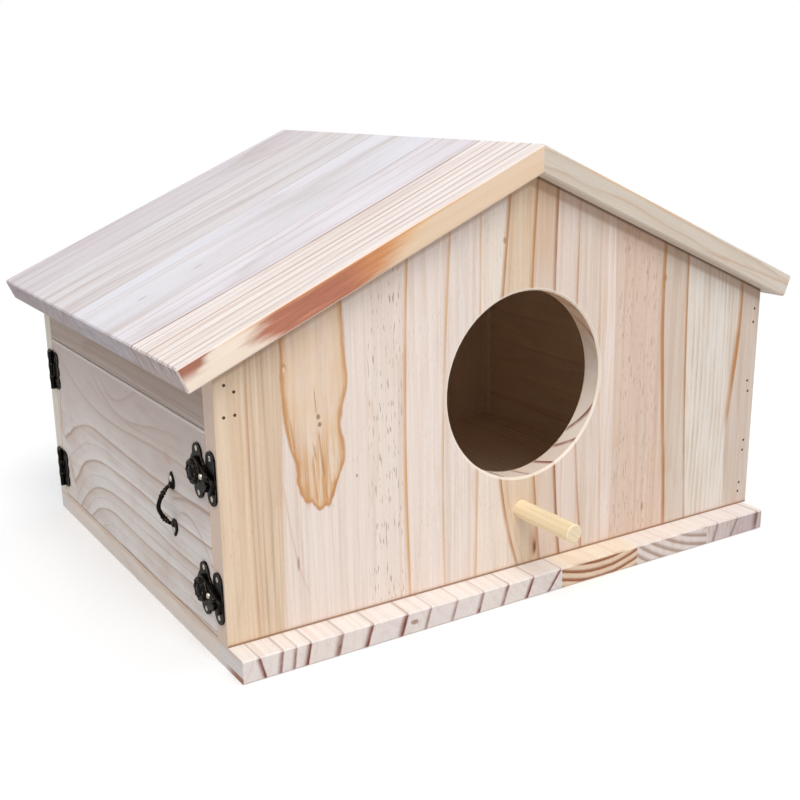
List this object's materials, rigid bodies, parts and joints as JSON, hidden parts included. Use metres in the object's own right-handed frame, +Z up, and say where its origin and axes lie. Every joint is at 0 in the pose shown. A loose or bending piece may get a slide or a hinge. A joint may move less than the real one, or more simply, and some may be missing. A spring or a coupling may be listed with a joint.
{
  "type": "parrot nest box",
  "caption": "Wooden nest box for parrots: a gabled board house with a round entrance, a perch dowel and a side door on hinges, held by swing latches and opened by a small bow handle.",
  "frame": {"origin": "middle of the walls' footprint, on the underside of the floor board", "axes": "+X to the right as one faces the entrance from outside, the front faces -Y, +Z up"},
  "size_m": [0.3836, 0.3175, 0.2364],
  "materials": {
    "boards": "bare planed pale pine, edge-glued strips",
    "dowel": "bare sanded dowel",
    "hardware": "dark antique bronze plating on pressed metal"
  },
  "bodies": {
    "house": {"floor_board": "boards", "front_wall": "boards", "back_wall": "boards", "right_wall": "boards", "left_top_rail": "boards", "roof_left": "boards", "roof_right": "boards", "perch": "dowel", "hinge_upper_wall_leaf": "hardware", "hinge_lower_wall_leaf": "hardware", "hinge_upper_pin": "hardware", "hinge_lower_pin": "hardware", "latch_upper_catch": "hardware", "latch_lower_catch": "hardware"},
    "side_door": {"door": "boards", "hinge_upper_door_leaf": "hardware", "hinge_lower_door_leaf": "hardware", "latch_upper_base": "hardware", "latch_lower_base": "hardware", "latch_upper_rivet": "hardware", "latch_lower_rivet": "hardware", "pull_handle": "hardware"},
    "upper_hook": {"latch_upper_hook": "hardware"},
    "lower_hook": {"latch_lower_hook": "hardware"}
  },
  "joints": [
    {"name": "door_hinge", "type": "hinge", "parent": "house", "child": "side_door", "pos_m": [-0.17675, 0.1215, 0.06325], "axis": [0, 0, -1], "range_deg": [0, 170]},
    {"name": "upper_hook_pivot", "type": "hinge", "parent": "side_door", "child": "upper_hook", "pos_m": [-0.17705, -0.1125, 0.0942], "axis": [-1, 0, 0], "range_deg": [0, 100]},
    {"name": "lower_hook_pivot", "type": "hinge", "parent": "side_door", "child": "lower_hook", "pos_m": [-0.17705, -0.1125, 0.035], "axis": [-1, 0, 0], "range_deg": [0, 100]}
  ]
}
